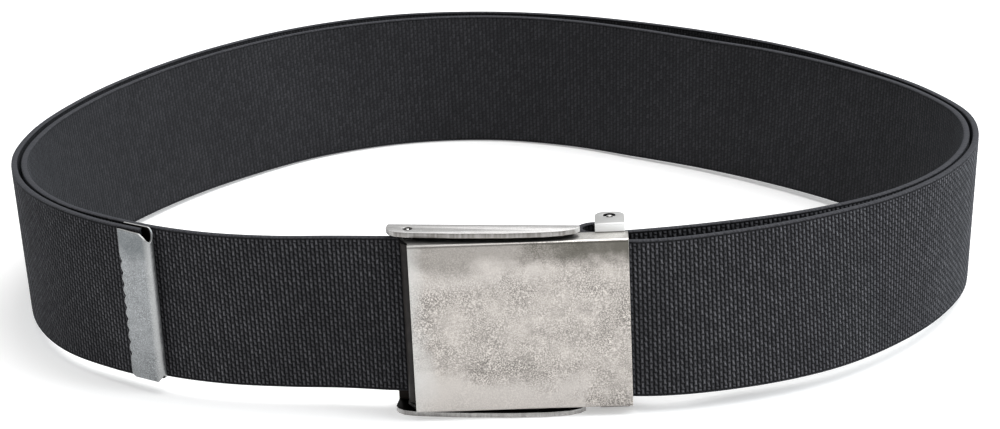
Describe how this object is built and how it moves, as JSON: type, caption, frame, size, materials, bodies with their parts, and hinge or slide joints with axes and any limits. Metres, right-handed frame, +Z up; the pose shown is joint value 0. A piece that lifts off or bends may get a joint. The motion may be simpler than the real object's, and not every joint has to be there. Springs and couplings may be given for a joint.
{
  "type": "elastic stretch belt",
  "caption": "Wide elastic webbing belt closed in a loop by a flat clamp buckle with a metal-tipped free end, standing on its edge.",
  "frame": {"origin": "bottom centre of the bounding box, on the surface the belt stands on", "axes": "+Z up along the webbing's width, -Y towards the buckle, +X to the right seen from the buckle"},
  "size_m": [0.2572, 0.2192, 0.0476],
  "materials": {
    "webbing": "matt black-grey elastic weave",
    "nickel": "aged satin nickel plate",
    "dark_steel": "dark knurled steel"
  },
  "bodies": {
    "root": {"webbing_strap": "webbing", "buckle_cover": "nickel", "clamp_frame": "nickel", "clamp_bar": "dark_steel", "clamp_pin": "nickel", "ear_pin": "nickel", "strap_tip": "nickel"}
  },
  "joints": []
}
